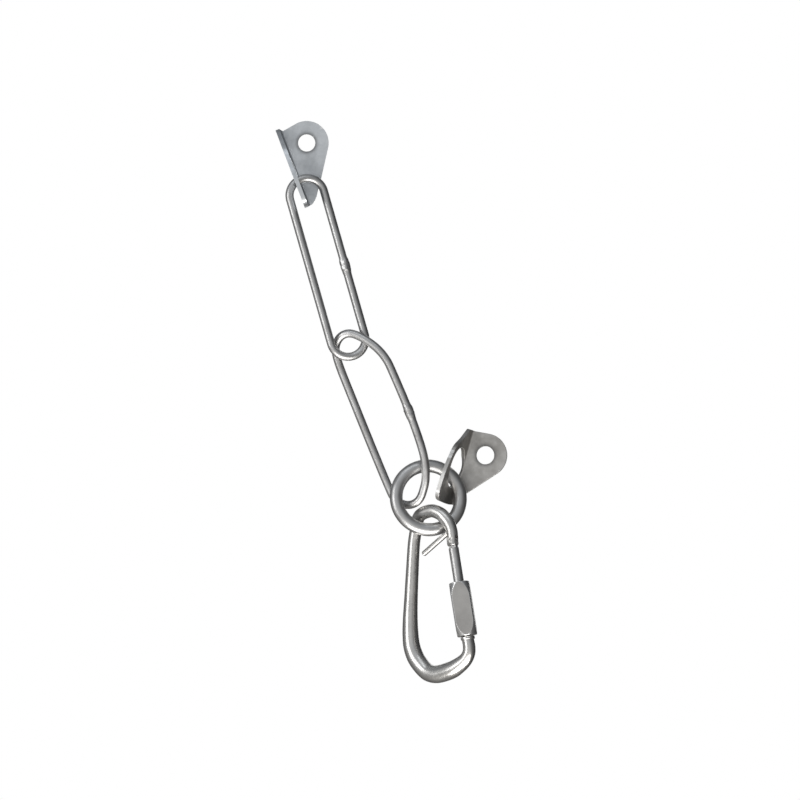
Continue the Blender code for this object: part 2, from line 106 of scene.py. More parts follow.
# Snap hook, in its own frame
HOOK_TURN = math.atan2(0.6, 0.8)
HOOK_ORIGIN = Vector((88.4, -25.3, -281.5))
HOOK_SPINE = (
    (22.2, -8.3, 4.2), (21.9, -3.5, 4.25), (20.9, 1.0, 4.3), (18.5, 5.2, 4.6),
    (14.1, 9.5, 4.8), (10.4, 11.9, 4.8), (3.4, 13.8, 4.85), (-4.8, 11.8, 4.8),
    (-9.0, 8.0, 4.6), (-11.0, -0.3, 4.5), (-12.9, -11.2, 4.5), (-14.3, -31.0, 4.7),
    (-15.5, -51.2, 5.0), (-16.1, -65.8, 5.5), (-15.9, -76.0, 5.9), (-14.8, -84.7, 6.2),
    (-11.8, -92.0, 6.4), (-8.0, -97.1, 6.4), (-2.9, -101.8, 6.4), (2.1, -104.3, 6.5),
    (9.5, -104.7, 6.6), (20.9, -101.7, 6.5), (28.1, -98.1, 5.9), (33.5, -94.2, 5.2),
    (36.5, -89.9, 4.8),
)
PIVOT = Vector((22.1, 0.0, -8.1))
GATE_LEAN = math.radians(11.1)
GATE_RADIUS = 3.7
GATE_LENGTH = 69.6
NOSE_FACE = 70.6
COLLAR_RADIUS = 5.2
COLLAR_HEIGHT = 2.0
FORK_RADIUS = 4.3
FORK_ROOF = 4.3
FORK_END = 3.4
FORK_FLAT = 3.75
TONGUE = 2.8
TONGUE_RADIUS = 3.4
PIN_RADIUS = 1.2
PIN_HALF = 3.9
PLUNGER_RADIUS = 1.25
PLUNGER_LENGTH = 2.4
ROD_START = 4.9
GAP = 0.3
PIN_FIT = 0.04
BAR_FIT = 0.06
PIN_EDGE = 0.5
BAR_EDGE = 0.75
COLLAR_EDGE = 0.45
GATE_FREE_EDGE = 0.5
GATE_HINGE_EDGE = 0.6
SLEEVE_RADIUS = 7.5
SLEEVE_FLAT = 7.25
SLEEVE_CORNER = 9.6
SLEEVE_BORE = 4.05
SLEEVE_FACING = math.radians(-57.0)
SLEEVE_TOP = 30.2
SLEEVE_LENGTH = 39.7
FLAT_RUNOUT = 11.0
SLEEVE_CHAMFER = 0.7
SLEEVE_EASE = 0.16
SLEEVE_SIDES = 192
# How far in from the end, and how far under the full radius, the sleeve's rounded end is.
SLEEVE_END = ((0.0, 0.9), (0.08, 0.62), (0.25, 0.34), (0.5, 0.12), (0.9, 0.02), (1.0, 0.0))
BORE_RADIUS = 1.6
BORE_DEPTH = 9.0
BORE_LEAN = math.radians(14.0)
SPRING_RADIUS = 0.95
SPRING_WIRE = 0.22
SPRING_TURNS = 6
SPRING_START = 2.7
SPRING_RISE = 5.6
BAR_RADIUS = 2.0
BAR_ENDS = (Vector((-4.2, 0.0, -17.8)), Vector((18.0, 0.0, -1.9)))

# Studio, in metres
DOME_RADIUS = 14.0
FLOOR_HEIGHT = -0.62
VIEW_CENTRE = Vector((0.068, -0.02, -0.1873))
CAMERA_AWAY = 8.0
FRAME_WIDTH = 0.5816

# Lights: name, size, power in watts, place and colour
DAYLIGHT = (0.92, 0.96, 1.0)
LAMPLIGHT = (1.0, 0.985, 0.96)
WHITE = (1.0, 1.0, 1.0)
LIGHTS = (
    ("below", (1.8, 1.2), 32.0, (0.1, -1.0, -1.5), LAMPLIGHT),
    ("left", (0.9, 1.6), 13.0, (-1.7, -1.3, 0.1), WHITE),
    ("top", (1.4, 0.5), 2.5, (-0.2, -0.9, 1.3), DAYLIGHT),
    ("behind", (1.6, 1.6), 9.0, (0.3, 1.9, 0.2), WHITE),
)

# How bright the room is: in front of the chain, to its right and behind it
ROOM_FRONT = 0.62
ROOM_RIGHT = 0.25
ROOM_BACK = 0.13

# Finishes, and the colours of painted highlights and painted shade
# Colour for polish, light weld scale and painted highlights.
POLISH_AND_HIGHLIGHT = (0.88, 0.88, 0.88)
POLISHED_ROUGHNESS = 0.20
# Colour for grime, dark weld scale and painted shade.
GRIME_AND_SHADE = (0.10, 0.10, 0.10)
# Painted highlight: the colour that sharp edges are lightened towards.
EDGE_HIGHLIGHT = (0.86, 0.86, 0.85)

ACROSS = Matrix.Rotation(math.pi / 2, 4, "X")
HOOK_MATRIX = Matrix.Translation(HOOK_ORIGIN) @ Matrix.Rotation(-HOOK_TURN, 4, "Z")
GATE_MATRIX = HOOK_MATRIX @ Matrix.Translation(PIVOT) @ Matrix.Rotation(-GATE_LEAN, 4, "Y")
PIN_MATRIX = HOOK_MATRIX @ Matrix.Translation(PIVOT) @ ACROSS


# ---------------------------------------------------------------- mesh tools

def finish_mesh(bm, name, matrix=None, sharp=40.0):
    """Makes a smooth-shaded object, in metres, from a bmesh in millimetres."""
    if matrix is not None:
        bmesh.ops.transform(bm, matrix=matrix, verts=bm.verts)
    bmesh.ops.scale(bm, vec=(MM, MM, MM), verts=bm.verts)
    bmesh.ops.recalc_face_normals(bm, faces=bm.faces)
    mesh = bpy.data.meshes.new(name)
    bm.to_mesh(mesh)
    bm.free()
    mesh.shade_smooth()
    mesh.set_sharp_from_angle(angle=math.radians(sharp))
    obj = bpy.data.objects.new(name, mesh)
    bpy.context.scene.collection.objects.link(obj)
    return obj


def applied(obj):
    """Applies an object's modifiers and returns it."""
    depsgraph = bpy.context.evaluated_depsgraph_get()
    mesh = bpy.data.meshes.new_from_object(obj.evaluated_get(depsgraph))
    obj.modifiers.clear()
    obj.data = mesh
    return obj


def arc(centre, radius, start, end, count):
    step = (end - start) / count
    angles = [start + step * i for i in range(count + 1)]
    return [(centre[0] + radius * math.cos(a), centre[1] + radius * math.sin(a)) for a in angles]


def smooth(points, per_span, cyclic):
    """Points on a Catmull-Rom curve through the given points."""
    count = len(points)
    result = []
    for i in range(count if cyclic else count - 1):
        if cyclic:
            p = [points[(i + k) % count] for k in (-1, 0, 1, 2)]
        else:
            p = [points[min(max(i + k, 0), count - 1)] for k in (-1, 0, 1, 2)]
        for j in range(per_span):
            t = j / per_span
            result.append(0.5 * (2 * p[1] + (p[2] - p[0]) * t
                                 + (2 * p[0] - 5 * p[1] + 4 * p[2] - p[3]) * t ** 2
                                 + (3 * p[1] - p[0] - 3 * p[2] + p[3]) * t ** 3))
    if not cyclic:
        result.append(points[-1].copy())
    return result


def frames_along(points, cyclic, up):
    """A side vector and an up vector at each point, kept from twisting by a fixed up."""
    count = len(points)
    result = []
    for i, point in enumerate(points):
        before = points[(i - 1) % count] if cyclic or i else point
        after = points[(i + 1) % count] if cyclic or i < count - 1 else point
        tangent = (after - before).normalized()
        side = tangent.cross(up).normalized()
        result.append((side, side.cross(tangent).normalized(), tangent))
    return result


def sweep(points, radius_at, sides, cyclic, up=Vector((0, 1, 0))):
    """A bmesh tube along points; radius_at(index, angle) gives the surface at each spot."""
    bm = bmesh.new()
    rings = []
    for i, (point, (side, high, _)) in enumerate(zip(points, frames_along(points, cyclic, up))):
        ring = []
        for k in range(sides):
            a = 2 * math.pi * k / sides
            r = radius_at(i, a)
            ring.append(bm.verts.new(point + side * (r * math.cos(a)) + high * (r * math.sin(a))))
        rings.append(ring)
    pairs = list(zip(rings, rings[1:] + (rings[:1] if cyclic else [])))
    for first, second in pairs:
        for k in range(sides):
            j = (k + 1) % sides
            bm.faces.new((first[k], first[j], second[j], second[k]))
    if not cyclic:
        bm.faces.new(rings[0])
        bm.faces.new(rings[-1])
    return bm


def lathe(profile, sides):
    """A solid turned about Z from (radius, z) pairs, with a flat face at each end."""
    bm = bmesh.new()
    rings = []
    for r, z in profile:
        angles = [2 * math.pi * k / sides for k in range(sides)]
        rings.append([bm.verts.new((r * math.cos(a), r * math.sin(a), z)) for a in angles])
    for first, second in zip(rings, rings[1:]):
        for k in range(sides):
            j = (k + 1) % sides
            bm.faces.new((first[k], first[j], second[j], second[k]))
    bm.faces.new(rings[0])
    bm.faces.new(rings[-1])
    return bm


def round_end(radius, z, edge, rising):
    """Profile points that round the edge of a turned end at height z, rising at the low end."""
    points = []
    for i in range(EDGE_STEPS + 1):
        a = math.pi / 2 * i / EDGE_STEPS
        if rising:
            points.append((radius - edge + edge * math.sin(a), z + (edge - edge * math.cos(a))))
        else:
            points.append((radius - edge + edge * math.cos(a), z + (-edge + edge * math.sin(a))))
    return points


def boolean(obj, cutter, operation):
    modifier = obj.modifiers.new(operation.title(), "BOOLEAN")
    modifier.operation = operation
    modifier.solver = "EXACT"
    modifier.object = cutter
    cutter.hide_render = True


def cutter_cylinder(radius, length, matrix, sides=48):
    bm = bmesh.new()
    bmesh.ops.create_cone(bm, cap_ends=True, segments=sides, radius1=radius, radius2=radius, depth=length)
    return finish_mesh(bm, "cutter", matrix)


def cutter_box(size, matrix):
    bm = bmesh.new()
    bmesh.ops.create_cube(bm, size=1.0)
    bmesh.ops.scale(bm, vec=size, verts=bm.verts)
    return finish_mesh(bm, "cutter", matrix)


def remove(objects):
    for obj in objects:
        bpy.data.objects.remove(obj, do_unlink=True)


def soften_edges(obj, width, degrees, segments):
    modifier = obj.modifiers.new("Soft edges", "BEVEL")
    modifier.width = width * MM
    modifier.segments = segments
    modifier.limit_method = "ANGLE"
    modifier.angle_limit = math.radians(degrees)
    return even_shading(obj)


def even_shading(obj):
    """Lets the large faces set the shading of the small ones that round their edges."""
    mesh = applied(obj).data
    mesh.shade_smooth()
    mesh.set_sharp_from_angle(angle=math.radians(60.0))
    modifier = obj.modifiers.new("Even shading", "WEIGHTED_NORMAL")
    modifier.weight = 80
    modifier.keep_sharp = True
    return applied(obj)


def paint(obj, tone_at, place=Matrix()):
    """Stores each spot's tone, from its place in millimetres: up to 1 lightens it for polish and painted
    highlights, down to -1 darkens it for grime and painted shade.
    """
    inverse = place.inverted()
    layer = obj.data.attributes.get("tone") or obj.data.attributes.new("tone", "FLOAT", "POINT")
    for vert, item in zip(obj.data.vertices, layer.data):
        item.value = tone_at(inverse @ (vert.co / MM))
    return obj


# ---------------------------------------------------------------- materials

def node(tree, kind, **inputs):
    made = tree.nodes.new(kind)
    for key, value in inputs.items():
        made.inputs[key.replace("_", " ")].default_value = value
    return made


def noise_node(tree, coordinates, scale, detail, rough=0.6):
    made = node(tree, "ShaderNodeTexNoise", Scale=scale, Detail=detail, Roughness=rough)
    tree.links.new(coordinates, made.inputs["Vector"])
    return made.outputs["Fac"]


def spread(tree, value, low, high, start=0.3, end=0.7):
    """Maps a value's range start to end onto low to high; low may be a socket."""
    made = node(tree, "ShaderNodeMapRange", From_Min=start, From_Max=end, To_Max=high)
    if isinstance(low, float):
        made.inputs["To Min"].default_value = low
    else:
        tree.links.new(low, made.inputs["To Min"])
    tree.links.new(value, made.inputs["Value"])
    return made.outputs["Result"]


def blend_colour(tree, factor, first, second):
    """Mixes two colours; each is a socket or an (r, g, b) value."""
    mix = tree.nodes.new("ShaderNodeMix")
    mix.data_type = "RGBA"
    for socket, value in ((mix.inputs["A"], first), (mix.inputs["B"], second)):
        if isinstance(value, tuple):
            socket.default_value = (*value, 1.0)
        else:
            tree.links.new(value, socket)
    if isinstance(factor, float):
        mix.inputs["Factor"].default_value = factor
    else:
        tree.links.new(factor, mix.inputs["Factor"])
    return mix.outputs["Result"]


def toned(tree, colour, roughness):
    """Lightens and smooths the polished spots and the painted highlights, and darkens the grimy spots and
    the painted shade.
    """
    tone = tree.nodes.new("ShaderNodeAttribute")
    tone.attribute_name = "tone"
    polish_and_highlight = spread(tree, tone.outputs["Fac"], 0.0, 0.75, 0.0, 1.0)
    grime_and_shade = spread(tree, tone.outputs["Fac"], 0.75, 0.0, -1.0, 0.0)
    colour = blend_colour(tree, polish_and_highlight, colour, POLISH_AND_HIGHLIGHT)
    colour = blend_colour(tree, grime_and_shade, colour, GRIME_AND_SHADE)
    return colour, spread(tree, polish_and_highlight, roughness, POLISHED_ROUGHNESS, 0.0, 1.0)


# Painted highlight: lightens the sharp edges, found by their pointiness.
def highlighted_edges(tree, colour, edge_highlight):
    edge = tree.nodes.new("ShaderNodeNewGeometry").outputs["Pointiness"]
    return blend_colour(tree, spread(tree, edge, 0.0, edge_highlight, 0.52, 0.62), colour, EDGE_HIGHLIGHT)


def steel(name, dark, light, rough, stretch=(1, 1, 1), grain=2600.0, bump=0.12, edge_highlight=0.0):
    """Steel with a fine grain, soft stains, small blotches and, if asked, edges lightened as a painted
    highlight.
    """
    material = bpy.data.materials.new(name)
    material.use_nodes = True
    tree = material.node_tree
    shader = tree.nodes["Principled BSDF"]
    shader.inputs["Metallic"].default_value = 1.0
    coordinates = tree.nodes.new("ShaderNodeTexCoord").outputs["Object"]
    mapping = node(tree, "ShaderNodeMapping", Scale=stretch)
    tree.links.new(coordinates, mapping.inputs["Vector"])
    drawn = mapping.outputs["Vector"]
    stain = noise_node(tree, coordinates, 70.0, 3.0)
    patch = noise_node(tree, coordinates, 420.0, 4.0)
    fine = noise_node(tree, drawn, grain, 3.0, 0.7)
    colour = blend_colour(tree, spread(tree, stain, 0.0, 1.0), dark, light)
    speck = blend_colour(tree, spread(tree, patch, 0.0, 0.45, 0.35, 0.75), colour, dark)
    colour = blend_colour(tree, spread(tree, fine, 0.0, 0.20, 0.35, 0.7), speck, light)
    colour, grit = toned(tree, colour, spread(tree, patch, rough[0], rough[1]))
    if edge_highlight:
        colour = highlighted_edges(tree, colour, edge_highlight)
    tree.links.new(colour, shader.inputs["Base Color"])
    tree.links.new(grit, shader.inputs["Roughness"])
    relief = node(tree, "ShaderNodeBump", Strength=bump, Distance=0.00012)
    tree.links.new(fine, relief.inputs["Height"])
    tree.links.new(relief.outputs["Normal"], shader.inputs["Normal"])
    return material


def make_materials():
    return {
        "hanger_steel": steel("hanger_steel", (0.48, 0.505, 0.53), (0.74, 0.765, 0.795), (0.40, 0.50),
                              grain=1500.0, bump=0.22, edge_highlight=0.7),
        # The lower hanger is the same part as the upper one; its darker, warmer copy of the hanger steel
        # is painted shade.
        "hanger_steel_warm": steel("hanger_steel_warm", (0.30, 0.29, 0.275), (0.54, 0.53, 0.515),
                                   (0.40, 0.50), grain=1500.0, bump=0.25, edge_highlight=0.7),
        "wire_steel": steel("wire_steel", (0.44, 0.435, 0.43), (0.60, 0.60, 0.60), (0.33, 0.43),
                            grain=1300.0, bump=0.03),
        "forged_steel": steel("forged_steel", (0.54, 0.53, 0.515), (0.72, 0.71, 0.69), (0.25, 0.34),
                              grain=1100.0, bump=0.02),
        "milled_steel": steel("milled_steel", (0.35, 0.34, 0.33), (0.46, 0.45, 0.435), (0.44, 0.52),
                              stretch=(1, 1, 0.15), grain=3200.0, bump=0.15, edge_highlight=0.6),
        "spring_steel": steel("spring_steel", (0.35, 0.35, 0.36), (0.5, 0.5, 0.51), (0.25, 0.35)),
    }


def dress(piece, material, body, replaced):
    """Gives a piece its finish, hangs it on its body and hides the part it replaces."""
    piece.data.materials.clear()
    piece.data.materials.append(MATERIALS[material])
    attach(piece, body)
    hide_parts(replaced)
    return piece


# ---------------------------------------------------------------- hangers

def half_bend(bend):
    return (BEND_INSIDE + PLATE / 2) * bend / 2


def bend_sheet(u, v, h, bend):
    """Folds the flat sheet about u = 0 into a plate along +x and a leg turned up by bend."""
    outside = BEND_INSIDE + PLATE
    half = half_bend(bend)
    if u > half:
        return u - half + outside, v, h
    angle = min((half - u) / (2 * half), 1.0) * bend
    past = max(-half - u, 0.0)
    return (outside - (outside - h) * math.sin(angle) - past * math.cos(bend), v,
            outside - (outside - h) * math.cos(angle) + past * math.sin(bend))


def hanger_outline(bend, hole, head, top, nub, reach_out, shoulder, belly):
    """Flat outline of plate and leg: u across the bend line, v down along it."""
    half = half_bend(bend)
    shift = half - BEND_INSIDE - PLATE
    hole_u = hole + shift
    lowest = belly[-1][1]
    reach = math.hypot(shoulder[0] + shift - hole_u, shoulder[1])
    toward = math.atan2(shoulder[1], shoulder[0] + shift - hole_u)
    tangent = toward - math.acos(head / reach)
    plate = arc((hole_u, 0.0), head, math.radians(-97.0), tangent, 60)
    plate.append((shoulder[0] + shift, shoulder[1]))
    plate += [(u + shift, v) for u, v in belly]
    # The leg's rim, from the fold along the lower edge to the tip and back up to the fold's top.
    rim = [(9.0, lowest + 0.6), (17.0, lowest + 0.2), (reach_out - 6.0, lowest - 0.6),
           (reach_out - 2.0, lowest - 2.2), (reach_out - 0.2, lowest - 5.0),
           (reach_out, lowest - 11.0), (reach_out - 0.8, 20.0), (reach_out - 2.8, 12.0),
           (reach_out - 5.0, 6.0), (reach_out - 8.5, -0.8), (16.5, -7.0), (11.0, -12.2),
           (8.0, top - 0.2 * nub), (6.0, top - 0.7 * nub)]
    rim = [(point.x, point.y) for point in smooth([Vector(p) for p in rim], 6, False)]
    leg = [(-(w + shift), v) for w, v in rim]
    return plate + leg + [(-half, top - nub), (-half + 2.0, top - 0.8 * nub), (half, top)]


def hanger_matrix(bolt, lean, turn):
    """Columns: across the plate, down along the bend, out from the wall."""
    across = Vector((math.cos(lean) * math.cos(turn), -math.sin(turn), math.sin(lean) * math.cos(turn)))
    down = Vector((math.sin(lean), 0.0, -math.cos(lean)))
    out = Vector((-math.cos(lean) * math.sin(turn), -math.cos(turn), -math.sin(lean) * math.sin(turn)))
    matrix = Matrix((across, down, out)).transposed().to_4x4()
    matrix.translation = bolt
    return matrix


def flat_hanger(outlines):
    """The flat blank in millimetres, with its cut edges rounded."""
    curve = bpy.data.curves.new("blank", "CURVE")
    curve.dimensions = "2D"
    curve.fill_mode = "BOTH"
    curve.extrude = PLATE / 2
    for outline in outlines:
        spline = curve.splines.new("POLY")
        spline.points.add(len(outline) - 1)
        for point, (x, y) in zip(spline.points, outline):
            point.co = (x, y, 0.0, 1.0)
        spline.use_cyclic_u = True
    flat = bpy.data.objects.new("blank", curve)
    bpy.context.scene.collection.objects.link(flat)
    bpy.context.view_layer.update()
    mesh = bpy.data.meshes.new_from_object(flat.evaluated_get(bpy.context.evaluated_depsgraph_get()))
    bm = bmesh.new()
    bm.from_mesh(mesh)
    bmesh.ops.remove_doubles(bm, verts=bm.verts, dist=0.001)
    bmesh.ops.dissolve_limit(bm, angle_limit=math.radians(0.4), verts=bm.verts, edges=bm.edges)
    bm.to_mesh(mesh)
    bm.free()
    blank = bpy.data.objects.new("blank", mesh)
    bpy.context.scene.collection.objects.link(blank)
    modifier = blank.modifiers.new("Tumbled edges", "BEVEL")
    modifier.width = EDGE_ROUND
    modifier.segments = 4
    modifier.limit_method = "ANGLE"
    modifier.angle_limit = math.radians(50.0)
    bm = bmesh.new()
    bm.from_mesh(applied(blank).data)
    remove((flat, blank))
    return bm


def slice_up(bm, low, high, step, normal):
    """Cuts the mesh by evenly spaced planes, so that it can bend and hold fine tone."""
    count = math.ceil((high - low) / step)
    for i in range(1, count):
        place = Vector(normal) * (low + (high - low) * i / count)
        geometry = list(bm.verts) + list(bm.edges) + list(bm.faces)
        bmesh.ops.bisect_plane(bm, geom=geometry, plane_co=place, plane_no=normal)


def hanger_tone(u, v, hole_u, bolt_radius, reach_u):
    """Painted shade round the bolt hole and a painted highlight on the leg's rim, from flat coordinates.
    """
    ring = math.hypot(u - hole_u, v) - bolt_radius
    # Painted shade: darkens a ring round the bolt hole.
    tone = -HOLE_SHADE * math.exp(-(max(ring, 0.0) / HOLE_SHADE_WIDTH) ** 2)
    # Painted highlight: lightens the leg's rim.
    if u - reach_u < 1.0 and v > RIM_START:
        tone += RIM_HIGHLIGHT * min((v - RIM_START) / RIM_FADE, 1.0)
    return tone + 0.15 * noise.noise(Vector((u, v, 0.0)) * 0.3)


def make_hanger(name, matrix, bend, hole, bolt_radius, shape):
    """Sheet with bolt hole and oval eye, folded into plate and leg."""
    half = half_bend(bend)
    shift = half - BEND_INSIDE - PLATE
    last = HOLE_SIDES - 1
    nearly_round = 2 * math.pi * last / HOLE_SIDES
    bolt = arc((hole + shift, 0.0), bolt_radius, 0.0, nearly_round, last)
    around = arc((0.0, 0.0), 1.0, 0.0, nearly_round, last)
    eye = [(x * EYE_HALF[0] - EYE_OUT - shift, y * EYE_HALF[1] + EYE_DOWN) for x, y in around]
    bm = flat_hanger((hanger_outline(bend, hole, *shape), bolt, eye))
    reach_u = min(v.co.x for v in bm.verts)
    slice_up(bm, reach_u, max(v.co.x for v in bm.verts), SHEET_STEP, (1, 0, 0))
    slice_up(bm, -half, half, BEND_STEP, (1, 0, 0))
    slice_up(bm, min(v.co.y for v in bm.verts), max(v.co.y for v in bm.verts), SHEET_STEP, (0, 1, 0))
    tone = bm.verts.layers.float.new("tone")
    for vert in bm.verts:
        x, y, z = vert.co
        vert[tone] = hanger_tone(x, y, hole + shift, bolt_radius, reach_u)
        vert.co = Vector(bend_sheet(x, y, z + PLATE / 2, bend)) - Vector((hole, 0, 0))
    return even_shading(finish_mesh(bm, name, matrix))


# ---------------------------------------------------------------- links and ring

def weld_swell(point, centre, radius):
    """Wire radius near its butt weld, which stands proud as a soft lump."""
    away = (point - centre).length
    return radius * (1 + WELD_SWELL * math.exp(-(away / WELD_LENGTH) ** 4))


def wire_surface(points, radius, weld, up):
    """A tube whose weld is lumpy and whose drawn surface is very slightly uneven."""
    frames = frames_along(points, True, up)

    def radius_at(i, a):
        point = points[i]
        side, high, _ = frames[i]
        spot = point + side * (radius * math.cos(a)) + high * (radius * math.sin(a))
        value = weld_swell(point, weld, radius)
        away = (point - weld).length
        rough = math.exp(-(away / (WELD_LENGTH * 1.05)) ** 4)
        value += rough * (0.42 * noise.noise(spot * 0.55) + 0.20 * noise.noise(spot * 1.3))
        seam = math.exp(-((away - 1.2) / 0.9) ** 2)
        value += 0.35 * rough * seam * noise.noise(spot * 0.8 + Vector((7, 0, 0)))
        return value + 0.03 * noise.noise(spot * 0.25)
    return radius_at


def weld_tone(weld):
    """Mottled light and dark scale on the weld bead."""
    def tone_at(spot):
        near = math.exp(-((spot - weld).length / (WELD_LENGTH * 1.1)) ** 4)
        return near * (0.15 + 0.9 * noise.noise(spot * 0.9))
    return tone_at


def dense(points, step):
    """Extra points on the straight runs of a closed route, so that the surface can be uneven."""
    result = []
    for first, second in zip(points, points[1:] + points[:1]):
        count = max(1, round((second - first).length / step))
        result += [first.lerp(second, k / count) for k in range(count)]
    return result


def make_upper_link():
    top, bottom = UPPER_LINK_ENDS
    axis = (bottom - top).normalized()
    side = Vector((-axis.z, 0.0, axis.x)).normalized()
    side = Vector((side.x, UPPER_LINK_TILT, side.z))
    steps = 36
    points = []
    for centre, way in ((top, -UPPER_LINK_RADIUS), (bottom, UPPER_LINK_RADIUS)):
        for i in range(steps + 1):
            a = math.pi * i / steps
            points.append(centre + way * (side * math.cos(a) + axis * math.sin(a)))
    points = dense(points, LINK_STEP)
    weld = top + side * UPPER_LINK_RADIUS + axis * (bottom - top).length * UPPER_WELD
    up = axis.cross(side).normalized()
    bm = sweep(points, wire_surface(points, WIRE, weld, up), LINK_SIDES, True, up)
    return paint(finish_mesh(bm, "upper_link_wire"), weld_tone(weld))


def lower_link_point(x, z):
    across = -LOWER_LINK_AXIS.z * x + LOWER_LINK_AXIS.x * z
    return Vector((x, LOWER_LINK_DEPTH + LOWER_LINK_TILT * across, z))


def make_lower_link():
    route = [lower_link_point(x, z) for x, z in LOWER_LINK_ROUTE]
    points = dense(smooth(route, 12, True), LINK_STEP)
    weld = lower_link_point(*LOWER_WELD)
    across = lower_link_point(10, 0) - lower_link_point(0, 0)
    up = across.cross(lower_link_point(0, 10) - lower_link_point(0, 0)).normalized()
    bm = sweep(points, wire_surface(points, WIRE, weld, up), LINK_SIDES, True, up)
    return paint(finish_mesh(bm, "lower_link_wire"), weld_tone(weld))


def make_ring():
    normal = Vector((-RING_TILT[0], 1.0, -RING_TILT[1])).normalized()
    first = normal.cross(Vector((0, 0, 1))).normalized()
    second = normal.cross(first)
    count = 220
    points = []
    for i in range(count):
        a = 2 * math.pi * i / count
        points.append(RING_CENTRE + RING_RADIUS * (first * math.cos(a) + second * math.sin(a)))
    seam = RING_CENTRE + RING_RADIUS * second

    def radius_at(i, a):
        point = points[i]
        away = (point - seam).length
        spot = point * 0.12 + Vector((math.cos(a), math.sin(a), 0))
        return RING_WIRE + RING_SEAM * math.exp(-(away / 4.0) ** 2) + 0.05 * noise.noise(spot)
    return finish_mesh(sweep(points, radius_at, 36, True, normal), "ring_body_welded")


# ---------------------------------------------------------------- snap hook

def on_gate(distance):
    """A point on the gate's axis, in the hook's frame."""
    return PIVOT + Vector((math.sin(GATE_LEAN), 0.0, -math.cos(GATE_LEAN))) * distance


def in_bore(distance):
    """A point on the spring bore's axis, measured up from the roof of the slot."""
    roof = PIVOT + Vector((0.0, 0.0, FORK_ROOF))
    return roof + Vector((-math.sin(BORE_LEAN), 0.0, math.cos(BORE_LEAN))) * distance


def hook_route(per_span):
    """Smoothed centreline of the body and its radius at each point."""
    nose = on_gate(NOSE_FACE + COLLAR_HEIGHT + 6.0)
    end = on_gate(NOSE_FACE + COLLAR_HEIGHT - 0.6)
    stations = HOOK_SPINE + ((nose.x, nose.z, 4.6), (end.x, end.z, 4.45))
    packed = smooth([Vector((x, r, z)) for x, z, r in stations], per_span, False)
    return [Vector((p.x, 0.0, p.z)) for p in packed], [p.y for p in packed]


def aligned(centre, direction):
    """Placement that stands a turned shape along a direction."""
    return Matrix.Translation(centre) @ direction.to_track_quat("Z", "Y").to_matrix().to_4x4()


def gate_direction():
    return on_gate(1.0) - on_gate(0.0)


def make_fork_end():
    """Rounded end of the body, in which the slot for the gate is cut."""
    profile = [(FORK_RADIUS - 0.15, -2.0)] + round_end(FORK_RADIUS - 0.1, FORK_END, 1.0, False)
    place = aligned(PIVOT, gate_direction())
    return finish_mesh(lathe(profile, 48), "fork_end", HOOK_MATRIX @ place)


def make_collar():
    """Collar on the nose, just past the closed sleeve."""
    profile = (round_end(COLLAR_RADIUS, -COLLAR_HEIGHT / 2, COLLAR_EDGE, True)
               + round_end(COLLAR_RADIUS, COLLAR_HEIGHT / 2, COLLAR_EDGE, False))
    place = aligned(on_gate(NOSE_FACE + COLLAR_HEIGHT / 2), gate_direction())
    return finish_mesh(lathe(profile, 56), "nose_collar", HOOK_MATRIX @ place)


def gate_cutters():
    """Slot for the tongue, hole for the pin and bore for the spring."""
    height = FORK_ROOF + 8.0
    slot_place = Matrix.Translation(PIVOT + Vector((0, 0, FORK_ROOF - height / 2)))
    slot = cutter_box((16.0, TONGUE + 2 * GAP, height), HOOK_MATRIX @ slot_place)
    hole = cutter_cylinder(PIN_RADIUS + PIN_FIT, 14.0, PIN_MATRIX)
    bore_place = aligned(in_bore(BORE_DEPTH / 2 - 0.5), in_bore(1.0) - in_bore(0.0))
    bore = cutter_cylinder(BORE_RADIUS, BORE_DEPTH + 1.0, HOOK_MATRIX @ bore_place)
    return [slot, hole, bore]


def bar_socket():
    """Blind hole that holds the end of the captive bar."""
    start, end = BAR_ENDS
    along = (end - start).normalized()
    place = aligned(end + along * (GAP - 6.0), along)
    return cutter_cylinder(BAR_RADIUS + BAR_FIT, 12.0, HOOK_MATRIX @ place)


def fork_flat(y):
    """Flat on one cheek of the fork, which the end of the pin stands just proud of."""
    place = Matrix.Translation(PIVOT + Vector((0.0, y, 0.0)))
    return cutter_box((4.4, 4.0, 5.4), HOOK_MATRIX @ place)


def make_hook_body():
    """Forged body with a fork for the gate, a socket for the bar and a collar on the nose."""
    points, radii = hook_route(12)

    def radius_at(i, a):
        spot = points[i] * 0.09 + Vector((math.cos(a), math.sin(a), 0.0))
        return radii[i] * (1 + 0.006 * noise.noise(spot)) - 0.01

    body = finish_mesh(sweep(points, radius_at, 40, False), "hook_body_forged", HOOK_MATRIX)
    added = [make_fork_end(), make_collar()]
    cut = gate_cutters() + [bar_socket(), fork_flat(-FORK_FLAT - 2.0), fork_flat(FORK_FLAT + 2.0)]
    for solid in added:
        boolean(body, solid, "UNION")
    for solid in cut:
        boolean(body, solid, "DIFFERENCE")
    applied(body)
    remove(added + cut)
    return soften_edges(body, 0.22, 38.0, 3)


def make_captive_bar():
    start, end = BAR_ENDS
    along = (end - start).normalized()
    length = (end - start).length
    half = [(BAR_RADIUS, length * t / 12 - length / 2) for t in range(1, 12)]
    profile = (round_end(BAR_RADIUS, -length / 2, BAR_EDGE, True) + half
               + round_end(BAR_RADIUS, length / 2, BAR_EDGE, False))
    place = aligned((start + end) / 2, along)
    return finish_mesh(lathe(profile, 40), "captive_bar_turned", HOOK_MATRIX @ place)


